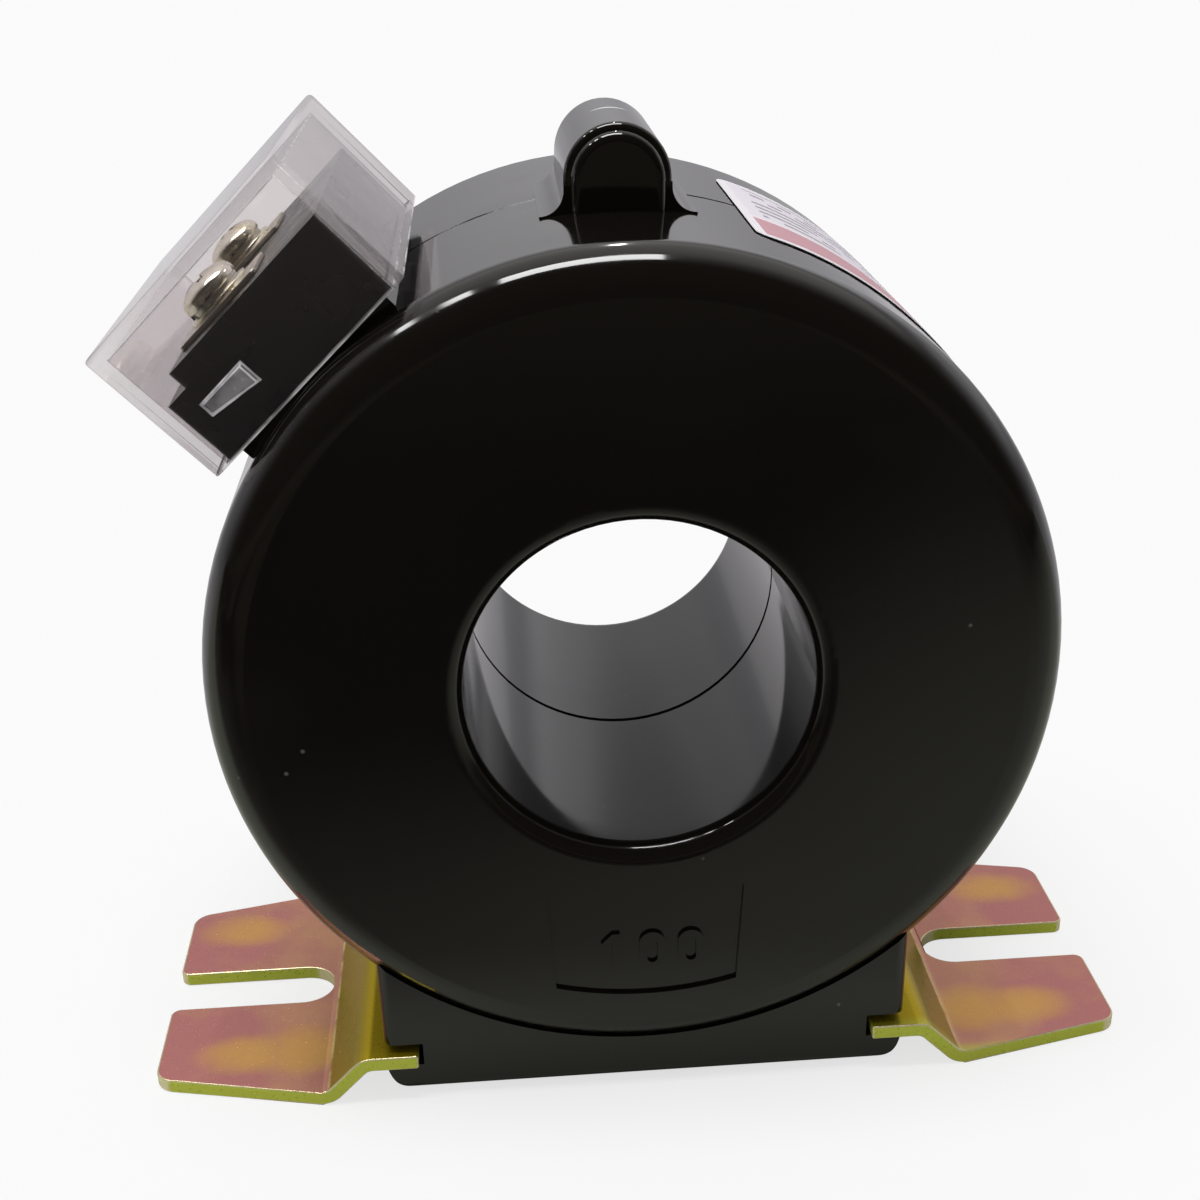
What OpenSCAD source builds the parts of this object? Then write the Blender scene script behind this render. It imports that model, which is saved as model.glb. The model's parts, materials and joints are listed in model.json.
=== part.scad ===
// Window-type current transformer on two sheet-metal feet.
// Frame: origin on the bore axis at mid depth, +X right, +Y towards the back, +Z up.

/* [Ring body] */
// Outside diameter of the ring
ring_d = 105; // [95:1:120]
// Diameter of the window that the primary conductor passes through
bore_d = 43; // [30:1:46]
// Depth of the ring, front face to back face
ring_depth = 74; // [66:1:90]
// Radius of the rounded outer edges
edge_r = 5.4; // [2:0.2:7]
// Radius of the rounded window lips
lip_r = 2.4; // [1:0.2:3]
// Wall of the rim
rim_wall = 3; // [2.4:0.2:4]
// Wall of the tube round the window
tube_wall = 2.5; // [2:0.1:3.5]
// Wall of the front and back faces
face_wall = 3; // [2.4:0.2:4]
// Bevel on each side of the parting line
seam_bevel = 0.45; // [0.2:0.05:0.6]
// Length of the tongue that locates the two shells
tongue_l = 2; // [1.5:0.25:3]
// Play round the tongue
tongue_play = 0.1; // [0.05:0.05:0.2]

/* [Marking panel] */
// Width of the sunk panel under the window at its upper edge
panel_w = 25.4; // [18:0.2:28]
// Inner radius of the sunk panel
panel_r_in = 30.2; // [27:0.2:34]
// Outer radius of the sunk panel
panel_r_out = 43.4; // [40:0.2:46]
// Depth of the sunk panel
panel_deep = 0.6; // [0.3:0.1:1]
// Height of the digits on the panel
digit_h = 5.6; // [4:0.2:7]
// Width of a digit's stroke
digit_line = 1; // [0.6:0.1:1.2]

/* [Base] */
// Width of the base block
base_w = 70; // [64:1:80]
// Height of the bore axis over the underside of the base
base_drop = 57.6; // [56:0.2:66]
// Depth of the base block
base_depth = 72; // [62:1:74]
// Radius of the two lower corners
base_r = 5; // [3:0.5:7]
// Radius of the base's front and back edges
base_edge_r = 1.6; // [1:0.2:2.4]
// Floor left under each foot slot
slot_floor = 4.3; // [3:0.1:6]
// Gap over the flange in its slot
slot_gap = 1.3; // [0.8:0.1:2]
// Distance of the end crush ribs from the ends of the flange
rib_end = 6.5; // [4:0.5:9]
// Distance between the two front crush ribs
rib_pitch = 16; // [12:0.5:20]

/* [Lug] */
// Width of the closing lug on top
lug_w = 12.9; // [11:0.1:16]
// Height of the lug over the rim
lug_h = 9.8; // [8:0.1:14]
// Length of the lug on the front shell
lug_front = 13.5; // [11:0.5:18]
// Length of the lug on the rear shell
lug_back = 10.5; // [9:0.5:18]
// Radius of the hollow flares at its foot
lug_flare_r = 3; // [1.5:0.5:4]
// Rounding of the lug's face edges
lug_edge_r = 0.8; // [0.4:0.1:1.2]
// Width of the raised arch on each face of the lug
arch_w = 11.2; // [9:0.1:11.4]
// Height of the raised arch over the lug's face
arch_h = 1.4; // [0.6:0.1:2]
// Rounding of the arch's edge
arch_r = 1.1; // [0.3:0.1:1.4]

/* [Feet] */
// Thickness of the foot sheet
sheet_t = 2; // [1.5:0.1:3]
// Width of a foot along the ring's depth, at the bend
foot_w = 51.2; // [40:0.2:56]
// Width of a foot at its outer end
foot_end_w = 40.8; // [34:0.2:50]
// Reach of a foot beyond the side of the base
foot_reach = 31.4; // [28:0.2:40]
// Straight flange outside the base
flange_out = 1.6; // [1:0.1:3]
// Flange inside the slot
flange_in = 4.5; // [3.5:0.1:5.5]
// How far the foot stands under the base
foot_proud = 0.6; // [0.2:0.1:1.5]
// Angle of the joggle
bend_angle = 45; // [35:1:60]
// Inside radius of each bend
bend_r = 1.5; // [1:0.1:2.5]
// Width of the open fixing slot
slot_w = 8.6; // [6:0.2:10]
// Length of the open fixing slot
slot_l = 22.8; // [16:0.2:24]
// Radius of the outer corners
foot_corner_r = 3; // [1:0.25:5]

/* [Terminal block] */
// Angle of the terminals, left of straight up
term_angle = 43.5; // [35:0.5:55]
// Width of the block across the rim
block_w = 27.5; // [25:0.5:30]
// Length of the block along the ring's depth
block_l = 49.5; // [46:0.5:58]
// Height of the lower, full-width part
block_low_h = 9; // [7:0.1:10]
// Height of the upper part
block_top_h = 2.3; // [1.5:0.1:4]
// Width of the ledge on the cable side
ledge_w = 3; // [1:0.25:3.5]
// Height of the seat over the rim's crown
seat_h = 0.3; // [0.2:0.1:1]
// Distance between the two terminals
term_pitch = 26; // [20:0.5:27]
// Shift of the terminals towards the cable side
term_shift = 3.2; // [0:0.1:3.6]
// Shift of the block and its terminals towards the front face
term_front = 5.5; // [0:0.5:6]
// Diameter of the block's two spigots
spigot_d = 5; // [3:0.2:6]

/* [Terminal hardware] */
// Length of a terminal plate across the rim
plate_w = 13; // [11:0.5:15]
// Width of a terminal plate
plate_l = 10; // [9:0.5:12]
// Thickness of a terminal plate
plate_t = 0.6; // [0.5:0.1:1.2]
// Thread diameter of the terminal screws
term_d = 4; // [3:0.5:4.5]
// Head diameter of the terminal screws
term_head_d = 7.8; // [6.6:0.2:9]
// Head height of the terminal screws
term_head_h = 2.4; // [2:0.1:3]
// Length of the terminal screws under the head
term_l = 8; // [7:0.5:8.5]
// Diameter of the flat washers
washer_d = 9; // [8:0.5:10]
// Thickness of the flat washers
washer_t = 0.5; // [0.3:0.1:1]
// Diameter of the spring washers
spring_d = 7.2; // [6.4:0.2:7.8]
// Thickness of the spring washers
spring_t = 0.7; // [0.5:0.1:1.2]
// Turn of the front screw's cross recess
front_turn = 20; // [0:5:90]
// Turn of the back screw's cross recess
back_turn = 65; // [0:5:90]
// Side of the square nuts
nut_w = 7; // [6:0.2:8]
// Thickness of the square nuts
nut_t = 3.2; // [2.4:0.2:4]

/* [Terminal cover] */
// Wall of the clear cover
cover_wall = 1.7; // [1:0.1:2]
// Play between the cover and the block
cover_play = 0.3; // [0.2:0.05:0.5]
// Gap between the cover's open edge and the block's seat
cover_lift = 0.1; // [0.1:0.1:1]
// Height of the cover
cover_h = 18.7; // [17:0.1:22]
// Radius of the cover's upright corners
cover_r = 1.4; // [0.8:0.1:3]
// Radius of the cover's top edges
cover_edge_r = 0.9; // [0.4:0.1:1.6]
// Length of the thumb catch on each end wall
catch_l = 6.6; // [4:0.2:8]
// Height of the thumb catch
catch_h = 2.7; // [2:0.1:4]
// How far the thumb catch stands out
catch_out = 1.2; // [0.6:0.1:2]

/* [Core and winding] */
// Play between the wrapped coil and the shells
coil_play = 0.3; // [0.2:0.05:0.5]
// Play between neighbouring layers of the coil
layer_play = 0.1; // [0.05:0.05:0.2]
// Thickness of the outer tape
wrap_t = 0.5; // [0.3:0.1:1]
// Thickness of the winding over the outside of the core
wind_out_t = 3; // [2:0.2:4]
// Thickness of the winding on the window side
wind_in_t = 4; // [3:0.2:5]
// Thickness of the winding over the core's ends
wind_end_t = 3.2; // [2:0.2:4]
// Thickness of the core's insulation
insul_t = 0.8; // [0.5:0.1:1.5]
// Diameter of the two leads
lead_d = 2; // [1.4:0.2:2.4]

/* [Closing screws] */
// Thread diameter of the closing screws
close_d = 3.4; // [2.8:0.2:4]
// Head diameter of the closing screws
close_head_d = 6; // [5.2:0.2:6.6]
// Head height of the closing screws
close_head_h = 2.2; // [1.6:0.2:3]
// Length of the lug screw under its head
lug_screw_l = 18; // [14:1:20]
// Length of the base screws under the head
base_screw_l = 22; // [18:1:28]
// Depth of the counterbore over the base screws
base_sink = 20; // [14:1:24]

/* [Rating label] */
// Angle at which the label starts, right of straight up
label_start = 17.5; // [14:0.5:24]
// Angle that the label covers
label_turn = 34.5; // [28:0.5:40]
// Length of the label along the ring's depth
label_l = 40; // [30:1:46]
// Shift of the label towards the back
label_shift = 1; // [-2:0.5:3]
// Thickness of the label
label_t = 0.2; // [0.1:0.05:0.3]

/* [Hidden] */
$fn = 96;
over = 1;                                   // how far a cut runs past the face it opens
fit = 0.1;                                  // play round pieces that sit in a pocket
film = 0.02;                                // glue line

ring_r = ring_d / 2;
bore_r = bore_d / 2;
half = ring_depth / 2;
merge_r = ring_r - rim_wall / 2;            // what is moulded on the rim starts inside its wall

// Base, slots and feet
base_z = -base_drop;
flange_z = base_z + slot_floor;             // underside of the flange
slot_h = sheet_t + slot_gap;
flange_x = base_w / 2 - flange_in;
slot_x = flange_x - 0.7;
foot_y = -half + foot_w / 2;                // the feet are flush with the front face
foot_back = foot_y + foot_w / 2;
foot_z = base_z - foot_proud;               // underside of the feet
joggle = flange_z - foot_z;
bend_mid = bend_r + sheet_t / 2;
ramp_l = (joggle - 2 * bend_mid * (1 - cos(bend_angle))) / sin(bend_angle);
ramp_x = 2 * bend_mid * sin(bend_angle) + ramp_l * cos(bend_angle);
bend_x = base_w / 2 + flange_out;           // start of the joggle
flat_x = bend_x + ramp_x;                   // end of the joggle
foot_x = base_w / 2 + foot_reach;           // outer end
rib_y = [-half + rib_end, -half + rib_end + rib_pitch, foot_back - rib_end];
rib_w = 1.5;

// Lug and closing screws
lug_r = lug_w / 2;
lug_top = ring_r + lug_h;
lug_z = lug_top - lug_r;
close_hole_d = close_d + 0.6;
close_sink_d = close_head_d + 0.6;
lug_seat_y = lug_back - close_head_h;  // where the heads of the closing screws bear
base_seat_y = base_depth / 2 - base_sink;
base_screw_x = base_w / 2 - flange_in - close_d / 2 - 2.3;
base_screw_z = base_z + 8.1;

// Terminal stack, measured outwards from the bore axis
seat_r = ring_r + seat_h;
seat_w = block_w - 3;
seat_l = block_l - 4;
ledge_r = seat_r + block_low_h;
deck_r = ledge_r + block_top_h;             // face that carries the plates
washer_r = deck_r + plate_t;
spring_r = washer_r + washer_t;
head_r = spring_r + spring_t;
nut_r = deck_r - nut_t;
tip_r = head_r - term_l;
spigot_x = -block_w / 2 + spigot_d / 2 + 3;
spigot_y = block_l / 2 - spigot_d / 2 - 5;
spigot_l = rim_wall;
lead_x = -term_shift + nut_w / 2 + lead_d / 2 + 0.8;

// Cover
cover_in_w = block_w + 2 * cover_play;
cover_in_l = block_l + 2 * cover_play;
cover_w = cover_in_w + 2 * cover_wall;
cover_l = cover_in_l + 2 * cover_wall;
cover_z = seat_r + cover_lift;
cover_top = cover_z + cover_h;

// Layers of the coil: [inner radius, outer radius, half length]
wrap_box = [bore_r + tube_wall + coil_play, ring_r - rim_wall - coil_play, half - face_wall - coil_play];
wind_box = inset(wrap_box, wrap_t + layer_play, wrap_t + layer_play, wrap_t + layer_play);
insul_box = inset(wind_box, wind_in_t + layer_play, wind_out_t + layer_play, wind_end_t + layer_play);
core_box = inset(insul_box, insul_t + layer_play, insul_t + layer_play, insul_t + layer_play);

function inset(b, inner, outer, ends) = [b[0] + inner, b[1] - outer, b[2] - ends];
function unit(v) = v / norm(v);
function tangent_l(p, a, b, r) = r / tan(acos(unit(a - p) * unit(b - p)) / 2);

// ---------- shared forms ----------

module along_y() { rotate([-90, 0, 0]) children(); }

module revolve_y() { along_y() rotate_extrude() children(); }

// Extrudes a drawing of the X-Z plane from y0 to y1
module from_to_y(y0, y1) {
    translate([0, y1, 0]) rotate([90, 0, 0]) linear_extrude(y1 - y0) children();
}

// Frame of the terminals: leaning to the left, shifted towards the front face
module terminals() { translate([0, -term_front, 0]) rotate([0, -term_angle, 0]) children(); }

// Convex outline with a true arc of radius rs[i] at each corner
module round_corners(pts, rs) {
    n = len(pts);
    polygon([for (i = [0:n - 1])
        let (p = pts[i], a = pts[(i + n - 1) % n], b = pts[(i + 1) % n],
             d = tangent_l(p, a, b, rs[i]))
        each [p + d * unit(a - p), p + d * unit(b - p)]]);
    for (i = [0:n - 1]) {
        p = pts[i];
        ua = unit(pts[(i + n - 1) % n] - p);
        ub = unit(pts[(i + 1) % n] - p);
        translate(p + unit(ua + ub) * rs[i] / sin(acos(ua * ub) / 2)) circle(r = rs[i]);
    }
}

module round_rect(w, h, r) {
    round_corners([[-w, -h] / 2, [w, -h] / 2, [w, h] / 2, [-w, h] / 2], [r, r, r, r]);
}

module tube(r_in, r_out, l) {
    difference() {
        cylinder(r = r_out, h = l);
        translate([0, 0, -over]) cylinder(r = r_in, h = l + 2 * over);
    }
}

module ring_box(b) {
    along_y() translate([0, 0, -b[2]]) tube(b[0], b[1], 2 * b[2]);
}

// A closed layer wrapped round a ring-shaped core
module wrapped(b, inner, outer, ends) {
    difference() {
        ring_box(b);
        ring_box(inset(b, inner, outer, ends));
    }
}

// ---------- the two shells ----------

// Half section of the shell wall, front half
module shell_section() {
    difference() {
        union() {
            round_corners([[bore_r, -half], [ring_r, -half], [ring_r, 0], [bore_r, 0]],
                          [lip_r, edge_r, 0.01, 0.01]);
        }
        round_corners([[bore_r + tube_wall, -half + face_wall], [ring_r - rim_wall, -half + face_wall],
                       [ring_r - rim_wall, over], [bore_r + tube_wall, over]],
                      [0.2, 0.2, 0.01, 0.01]);
        translate([ring_r, 0]) rotate(45) square(seam_bevel * sqrt(2), center = true);
        translate([bore_r, 0]) rotate(45) square(seam_bevel * sqrt(2), center = true);
    }
}

module base_outline() {
    w = base_w / 2;
    round_corners([[-w, base_z], [w, base_z], [w, 0], [-w, 0]], [base_r, base_r, 0.01, 0.01]);
}

module base_half() {
    d = base_depth / 2;
    difference() {
        intersection() {
            from_to_y(-d, 0) base_outline();
            translate([0, 0, base_z]) linear_extrude(base_drop)
                round_rect(base_w, base_depth, base_edge_r);
            translate([-base_w / 2, 0, 0]) rotate([90, 0, 90]) linear_extrude(base_w)
                round_corners([[-d, base_z], [d, base_z], [d, 0], [-d, 0]],
                              [base_edge_r, base_edge_r, 0.01, 0.01]);
        }
        along_y() cylinder(r = merge_r, h = 2 * ring_depth, center = true);
        base_pockets();
    }
}

// Hollows in the base beside its middle rib, open at the parting plane
module base_pockets() {
    inner = base_screw_x - close_hole_d / 2 - 2.4;
    for (s = [-1, 1])
        from_to_y(-base_depth / 2 + face_wall, over)
            difference() {
                translate([s * (inner + 9) / 2 - (inner - 9) / 2, base_z + face_wall])
                    square([inner - 9, base_drop]);
                circle(r = ring_r);
            }
}

module lug_outline() {
    w = lug_r + lug_flare_r;
    circle_z = ring_r + lug_flare_r - 0.6;
    translate([0, lug_z]) circle(r = lug_r);
    translate([-lug_r, merge_r - 1]) square([lug_w, lug_z - merge_r + 1]);
    for (s = [-1, 1])
        difference() {
            translate([s * (lug_r + w) / 2 - lug_flare_r / 2, merge_r - 2])
                square([lug_flare_r, circle_z - merge_r + 2]);
            translate([s * w, circle_z]) circle(r = lug_flare_r);
        }
}

// A disc with rounded rims, used for the round head of the lug and of its raised arch
module soft_disc(r, depth, edge) {
    rotate([90, 0, 0]) rotate_extrude()
        intersection() {
            round_rect(2 * r, depth, edge);
            translate([0, -depth]) square([r, 2 * depth]);
        }
}

// A post with a round head and rounded rims, reaching as far to the front as to the back
module soft_arch(w, depth, edge) {
    translate([0, 0, lug_z]) soft_disc(w / 2, depth, edge);
    translate([0, 0, merge_r - 1]) linear_extrude(lug_z - merge_r + 1) round_rect(w, depth, edge);
}

// Half of the lug, reaching l to the front of the parting plane
module lug_half(l) {
    difference() {
        union() {
            soft_arch(lug_w, 2 * l, lug_edge_r);
            soft_arch(arch_w, 2 * (l + arch_h), arch_r);
            difference() {
                from_to_y(-l, l) lug_outline();
                translate([-lug_r - lug_edge_r, -2 * l, ring_r + lug_flare_r])
                    cube([lug_w + 2 * lug_edge_r, 4 * l, lug_h]);
            }
        }
        along_y() cylinder(r = merge_r, h = 2 * ring_depth, center = true);
        translate([-ring_r, 0, 0]) cube([ring_d, ring_depth, ring_d]);
        translate([0, 0, lug_top]) rotate([45, 0, 0])
            cube([lug_w, seam_bevel * sqrt(2), seam_bevel * sqrt(2)], center = true);
    }
}

// Half of the block's seat, which the terminals' shift makes longer or shorter
module seat_half(shift) {
    difference() {
        rotate([0, -term_angle, 0]) translate([-seat_w / 2, -seat_l / 2 - shift, 0])
            cube([seat_w, seat_l / 2 + shift, seat_r]);
        along_y() cylinder(r = merge_r, h = 2 * ring_depth, center = true);
    }
}

// Everything that both shells share, as the front half, with a lug of length lug_l
// and the terminals shifted towards its face
module plain_half(lug_l, shift) {
    difference() {
        union() {
            revolve_y() shell_section();
            base_half();
            lug_half(lug_l);
            seat_half(shift);
        }
        rotate([0, -term_angle, 0]) {
            translate([spigot_x, -spigot_y - shift, ring_r - 2 * rim_wall])
                cylinder(d = spigot_d + 2 * fit, h = 4 * rim_wall);
            translate([lead_x, -term_pitch / 2 - shift, ring_r - 2 * rim_wall])
                cylinder(d = lead_d + 6 * fit, h = 4 * rim_wall);
        }
    }
}

// Tongue between the shells: one ring in the rim, one round the window tube
module tongue(play) {
    along_y() translate([0, 0, -play]) {
        tube(ring_r - rim_wall - play, merge_r + play, tongue_l + 2 * play);
        tube(bore_r + tube_wall / 2 - play, bore_r + tube_wall + play, tongue_l + 2 * play);
    }
}

module foot_slots() {
    for (s = [-1, 1])
        translate([s * (slot_x + base_w) / 2 - (base_w - slot_x) / 2, -ring_depth, flange_z])
            cube([base_w - slot_x, foot_back + 2 * fit + ring_depth, slot_h]);
}

// Crush ribs that press each flange on the floor of its slot
module crush_ribs(places) {
    for (s = [-1, 1], y = places)
        translate([s * (slot_x + base_w / 2) / 2 - (base_w / 2 - slot_x) / 2, y - rib_w / 2,
                   flange_z + sheet_t])
            cube([base_w / 2 - slot_x - 0.5, rib_w, slot_gap + 0.2]);
}

module panel_recess() {
    top_y = -sqrt(panel_r_in * panel_r_in - panel_w * panel_w / 4);
    narrow = panel_w / 2 - 1;
    from_to_y(-half - over, -half + panel_deep)
        difference() {
            intersection() {
                circle(r = panel_r_out);
                polygon([[-panel_w / 2, top_y], [-narrow, -panel_r_out], [narrow, -panel_r_out],
                         [panel_w / 2, top_y], [0, 0]]);
            }
            circle(r = panel_r_in);
        }
}

// Plain raised number on the sunk panel
module panel_digits() {
    z = -(panel_r_in + panel_r_out) / 2;
    w = digit_h * 0.6;
    from_to_y(-half + 0.1, -half + panel_deep + 0.1)
        translate([0, z]) {
            translate([-w - digit_line, -digit_h / 2]) square([digit_line, digit_h]);
            translate([-w - digit_line, digit_h / 2]) rotate(-135) square([w * 0.6, digit_line * 0.8]);
            for (x = [0.25, 1.75])
                translate([x * w, 0]) difference() {
                    round_rect(w, digit_h, w / 2 - 0.01);
                    round_rect(w - 2 * digit_line, digit_h - 2 * digit_line, w / 2 - digit_line - 0.01);
                }
        }
}

// Blind pilot holes of the closing screws in the front shell
module pilot_holes() {
    lug_tip = lug_screw_l - lug_seat_y + 0.5;
    base_tip = base_screw_l - base_seat_y + 0.5;
    along_y() {
        translate([0, -lug_z, -lug_tip]) cylinder(d = close_d, h = lug_tip + over);
        for (s = [-1, 1]) translate([s * base_screw_x, -base_screw_z, -base_tip])
            cylinder(d = close_d, h = base_tip + over);
    }
}

// Clearance holes and counterbores of the closing screws in the rear shell
module screw_holes() {
    along_y() {
        translate([0, -lug_z, -over]) cylinder(d = close_hole_d, h = lug_back + arch_h + over);
        translate([0, -lug_z, lug_seat_y]) cylinder(d = close_sink_d, h = close_head_h + arch_h + over);
        for (s = [-1, 1]) translate([s * base_screw_x, -base_screw_z, 0]) {
            translate([0, 0, -over]) cylinder(d = close_hole_d, h = base_depth);
            translate([0, 0, base_seat_y]) cylinder(d = close_sink_d, h = base_depth);
        }
    }
}

module front_shell() {
    color([0.035, 0.035, 0.04]) {
        difference() {
            union() {
                plain_half(lug_front, term_front);
                tongue(0);
            }
            panel_recess();
            pilot_holes();
            foot_slots();
        }
        panel_digits();
        crush_ribs([for (y = rib_y) if (y < 0) y]);
    }
}

module rear_shell() {
    color([0.04, 0.04, 0.045]) {
        difference() {
            mirror([0, 1, 0]) plain_half(lug_back, -term_front);
            tongue(tongue_play);
            screw_holes();
            foot_slots();
        }
        crush_ribs([for (y = rib_y) if (y > 0) y]);
    }
}

// ---------- core, winding and leads ----------

module core() { color([0.45, 0.46, 0.48]) ring_box(core_box); }

module core_insulation() {
    color([0.76, 0.66, 0.45]) wrapped(insul_box, insul_t, insul_t, insul_t);
}

module winding() {
    color([0.72, 0.40, 0.20]) wrapped(wind_box, wind_in_t, wind_out_t, wind_end_t);
}

module outer_wrap() {
    color([0.90, 0.88, 0.80]) difference() {
        wrapped(wrap_box, wrap_t, wrap_t, wrap_t);
        terminals() for (s = [-1, 1]) translate([lead_x, s * term_pitch / 2, wrap_box[0] + over])
            cylinder(d = lead_d + 6 * fit, h = ring_r);
    }
}

module lead(s) {
    foot_r = wind_box[1] + fit;
    terminals() translate([lead_x, s * term_pitch / 2, foot_r])
        cylinder(d = lead_d, h = deck_r - foot_r);
}

module lead_1() { color([0.75, 0.12, 0.10]) lead(-1); }

module lead_2() { color([0.10, 0.25, 0.60]) lead(1); }

// ---------- terminal block and its hardware ----------

module terminal_block() {
    color([0.05, 0.05, 0.055]) terminals() difference() {
        union() {
            translate([0, 0, seat_r]) linear_extrude(block_low_h) round_rect(block_w, block_l, 0.8);
            translate([ledge_w / 2, 0, ledge_r - 0.01]) linear_extrude(block_top_h + 0.01)
                round_rect(block_w - ledge_w, block_l, 0.8);
            for (s = [-1, 1])
                translate([spigot_x, s * spigot_y, seat_r - spigot_l])
                    cylinder(d = spigot_d, h = spigot_l + 1);
            translate([-block_w / 2 + ledge_w + 1.1, 0, deck_r])
                cube([2, 1.4, 2.4], center = true);
        }
        for (s = [-1, 1]) translate([-term_shift, s * term_pitch / 2, 0]) {
            translate([-nut_w / 2 - fit, -nut_w / 2 - fit, nut_r - fit])
                cube([nut_w + 2 * fit, nut_w + 2 * fit, nut_t + over]);
            translate([0, 0, tip_r - 0.8]) cylinder(d = term_d + 0.6, h = deck_r);
            translate([lead_x + term_shift, 0, seat_r - over])
                cylinder(d = lead_d + 6 * fit, h = deck_r);
        }
    }
}

module at_terminal(s, r) {
    terminals() translate([-term_shift, s * term_pitch / 2, r]) children();
}

module plate(s) {
    at_terminal(s, deck_r) difference() {
        linear_extrude(plate_t) round_rect(plate_w, plate_l, 0.8);
        translate([0, 0, -over]) cylinder(d = term_d + 0.3, h = plate_t + 2 * over);
    }
}

module terminal_plate_1() { color([0.80, 0.78, 0.72]) plate(-1); }

module terminal_plate_2() { color([0.80, 0.78, 0.72]) plate(1); }

module nut(s) {
    at_terminal(s, nut_r) difference() {
        translate([-nut_w / 2, -nut_w / 2, 0]) cube([nut_w, nut_w, nut_t]);
        translate([0, 0, -over]) cylinder(d = term_d + 0.04, h = nut_t + 2 * over);
    }
}

module terminal_nut_1() { color([0.78, 0.76, 0.68]) nut(-1); }

module terminal_nut_2() { color([0.78, 0.76, 0.68]) nut(1); }

module flat_washer(s) {
    at_terminal(s, washer_r) tube(term_d / 2 + 0.15, washer_d / 2, washer_t);
}

module flat_washer_1() { color([0.80, 0.79, 0.76]) flat_washer(-1); }

module flat_washer_2() { color([0.80, 0.79, 0.76]) flat_washer(1); }

module spring_washer(s) {
    at_terminal(s, spring_r) difference() {
        tube(term_d / 2 + 0.1, spring_d / 2, spring_t);
        rotate([0, 0, 150 * s]) translate([spring_d / 2, 0, spring_t / 2]) rotate([35, 0, 0])
            cube([spring_d, 0.7, 4 * spring_t], center = true);
    }
}

module spring_washer_1() { color([0.74, 0.73, 0.70]) spring_washer(-1); }

module spring_washer_2() { color([0.74, 0.73, 0.70]) spring_washer(1); }

// Pan head with a cross recess, its seat at z = 0 and its shank below
module pan_screw(d, l, head_d, head_h, turn) {
    crown = 0.9;                            // height of the straight rim under the dome
    dome = head_h - crown;
    ball = (head_d * head_d / 4 + dome * dome) / (2 * dome);
    point = 0.5;                            // bevel at the screw's tip
    difference() {
        rotate_extrude() {
            polygon([[0, -l], [d / 2 - point, -l], [d / 2, point - l], [d / 2, 0],
                     [head_d / 2, 0], [head_d / 2, crown], [0, crown]]);
            intersection() {
                translate([0, head_h - ball]) circle(r = ball);
                translate([0, crown]) square([head_d / 2, dome + over]);
            }
        }
        rotate(turn) translate([0, 0, head_h]) for (a = [0, 90]) rotate(a)
            cube([head_d * 0.6, head_d * 0.13, head_h * 1.1], center = true);
    }
}

module terminal_screw(s, turn) {
    at_terminal(s, head_r) pan_screw(term_d, term_l, term_head_d, term_head_h, turn);
}

module terminal_screw_1() { color([0.82, 0.81, 0.77]) terminal_screw(-1, front_turn); }

module terminal_screw_2() { color([0.82, 0.81, 0.77]) terminal_screw(1, back_turn); }

// ---------- clear terminal cover ----------

module cover_catch() {
    x1 = -3.5;
    x2 = x1 - catch_l;
    y = -cover_l / 2;
    z = cover_z + cover_h * 0.283;
    intersection() {
        translate([0, 0, cover_z]) linear_extrude(cover_h)
            polygon([[x1, y + 0.1], [x2, y + 0.1], [x2, y - catch_out / 4], [x1, y - catch_out]]);
        from_to_y(y - 2 * catch_out, y + over)
            polygon([[x1, z - catch_h / 2], [x2, z - catch_h / 2 + 1.1], [x2, z + catch_h / 2],
                     [x1, z + catch_h / 2]]);
    }
}

// Side view of the cover, w wide, with its top corners rounded
module cover_profile(w) {
    round_corners([[-w / 2, cover_z], [w / 2, cover_z], [w / 2, cover_top], [-w / 2, cover_top]],
                  [0.01, 0.01, cover_edge_r, cover_edge_r]);
}

module terminal_cover() {
    color([0.85, 0.84, 0.85, 0.35]) terminals() {
        difference() {
            intersection() {
                translate([0, 0, cover_z]) linear_extrude(cover_h) round_rect(cover_w, cover_l, cover_r);
                from_to_y(-cover_l, cover_l) cover_profile(cover_w);
                rotate([0, 0, 90]) from_to_y(-cover_w, cover_w) cover_profile(cover_l);
            }
            translate([0, 0, cover_z - over]) linear_extrude(cover_h + over - cover_wall)
                round_rect(cover_in_w, cover_in_l, max(cover_r - cover_wall, 0.3));
        }
        cover_catch();
        mirror([0, 1, 0]) cover_catch();
    }
}

// ---------- feet ----------

// Arc of the sheet, centred on the bend's centre, from angle a by the bend angle
module bend_arc(a) {
    reach = 2 * (bend_r + sheet_t);
    intersection() {
        difference() {
            circle(r = bend_r + sheet_t);
            circle(r = bend_r);
        }
        polygon([[0, 0], reach * [cos(a), sin(a)], reach * [cos(a + bend_angle / 2), sin(a + bend_angle / 2)],
                 reach * [cos(a + bend_angle), sin(a + bend_angle)]]);
    }
}

// Section of a foot: flange, joggle and flat
module foot_section() {
    translate([flange_x, flange_z]) square([bend_x - flange_x, sheet_t]);
    translate([bend_x, flange_z - bend_r]) bend_arc(90 - bend_angle);
    translate([bend_x, flange_z - bend_r]) rotate(-bend_angle)
        translate([-0.01, bend_r]) square([ramp_l + 0.02, sheet_t]);
    translate([flat_x, foot_z + sheet_t + bend_r]) bend_arc(-90 - bend_angle);
    translate([flat_x, foot_z]) square([foot_x - flat_x, sheet_t]);
}

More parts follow.
